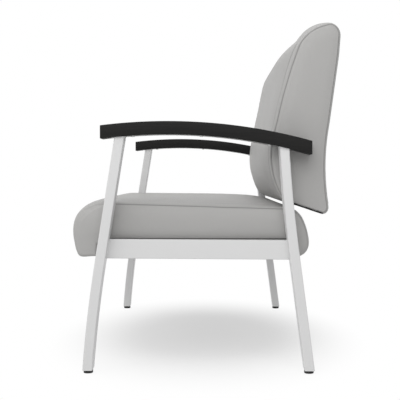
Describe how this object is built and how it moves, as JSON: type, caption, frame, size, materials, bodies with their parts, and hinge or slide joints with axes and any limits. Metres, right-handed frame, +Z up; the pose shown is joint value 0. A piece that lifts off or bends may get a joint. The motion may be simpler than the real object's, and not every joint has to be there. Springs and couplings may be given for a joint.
{
  "type": "waiting room loveseat",
  "caption": "Waiting room loveseat with a bench seat and one-piece back in grey vinyl, white rectangular tube side frames, arched black arms and levelling glides.",
  "frame": {"origin": "on the floor, under the middle of the whole loveseat's box", "axes": "+X to the sitter's left along the seat, -Y to the front, +Z up"},
  "size_m": [1.1728, 0.7088, 0.94],
  "materials": {
    "frame_paint": "satin powder coat, off-white",
    "arm_wood": "black stain, satin lacquer",
    "plain_steel": "zinc plated",
    "spacer_plastic": "grey nylon",
    "glide_plastic": "black nylon",
    "plug_plastic": "black nylon",
    "vinyl": "fine grained warm grey vinyl",
    "foam": "polyurethane foam",
    "plywood": "raw plywood",
    "hardwood": "raw hardwood",
    "dust_cloth": "black spunbond cloth"
  },
  "bodies": {
    "frame": {"front_leg_left": "frame_paint", "front_leg_right": "frame_paint", "rear_leg_left": "frame_paint", "rear_leg_right": "frame_paint", "side_rail_left": "frame_paint", "side_rail_right": "frame_paint", "front_cross_rail": "frame_paint", "rear_cross_rail": "frame_paint", "centre_brace": "frame_paint", "end_plates": "frame_paint", "arm_cap_left": "arm_wood", "arm_cap_right": "arm_wood", "arm_bar_left": "plain_steel", "arm_bar_right": "plain_steel", "back_bolts": "plain_steel", "back_spacers": "spacer_plastic", "leg_plug_front_left": "plug_plastic", "leg_plug_front_right": "plug_plastic", "leg_plug_rear_left": "plug_plastic", "leg_plug_rear_right": "plug_plastic", "seat_cover": "vinyl", "back_cover": "vinyl", "back_panel": "vinyl", "seat_foam": "foam", "back_foam": "foam", "seat_board": "plywood", "back_end_left": "plywood", "back_end_right": "plywood", "seat_front_rail": "hardwood", "seat_rear_rail": "hardwood", "back_top_rail": "hardwood", "back_lumbar_rail": "hardwood", "back_bottom_rail": "hardwood", "dust_cover": "dust_cloth"},
    "pad_front_left": {"glide_pad_front_left": "glide_plastic"},
    "stud_front_left": {"glide_stud_front_left": "plain_steel"},
    "pad_front_right": {"glide_pad_front_right": "glide_plastic"},
    "stud_front_right": {"glide_stud_front_right": "plain_steel"},
    "pad_rear_left": {"glide_pad_rear_left": "glide_plastic"},
    "stud_rear_left": {"glide_stud_rear_left": "plain_steel"},
    "pad_rear_right": {"glide_pad_rear_right": "glide_plastic"},
    "stud_rear_right": {"glide_stud_rear_right": "plain_steel"}
  },
  "joints": [
    {"name": "front_left_height", "type": "slide", "parent": "frame", "child": "pad_front_left", "axis": [0, 0, -1], "range_m": [0, 0.01]},
    {"name": "front_left_screw", "type": "hinge", "parent": "pad_front_left", "child": "stud_front_left", "pos_m": [0.5546, -0.3083, 0.02], "axis": [0, 0, -1], "range_deg": [0, 2881]},
    {"name": "front_right_height", "type": "slide", "parent": "frame", "child": "pad_front_right", "axis": [0, 0, -1], "range_m": [0, 0.01]},
    {"name": "front_right_screw", "type": "hinge", "parent": "pad_front_right", "child": "stud_front_right", "pos_m": [-0.5546, -0.3083, 0.02], "axis": [0, 0, -1], "range_deg": [0, 2881]},
    {"name": "rear_left_height", "type": "slide", "parent": "frame", "child": "pad_rear_left", "axis": [0, 0, -1], "range_m": [0, 0.01]},
    {"name": "rear_left_screw", "type": "hinge", "parent": "pad_rear_left", "child": "stud_rear_left", "pos_m": [0.5546, 0.2702, 0.02], "axis": [0, 0, -1], "range_deg": [0, 2881]},
    {"name": "rear_right_height", "type": "slide", "parent": "frame", "child": "pad_rear_right", "axis": [0, 0, -1], "range_m": [0, 0.01]},
    {"name": "rear_right_screw", "type": "hinge", "parent": "pad_rear_right", "child": "stud_rear_right", "pos_m": [-0.5546, 0.2702, 0.02], "axis": [0, 0, -1], "range_deg": [0, 2881]}
  ],
  "couplings": [
    {"joint": "front_left_screw", "follows": "front_left_height", "rad_per_m": 5026.5},
    {"joint": "front_right_screw", "follows": "front_right_height", "rad_per_m": 5026.5},
    {"joint": "rear_left_screw", "follows": "rear_left_height", "rad_per_m": 5026.5},
    {"joint": "rear_right_screw", "follows": "rear_right_height", "rad_per_m": 5026.5}
  ]
}
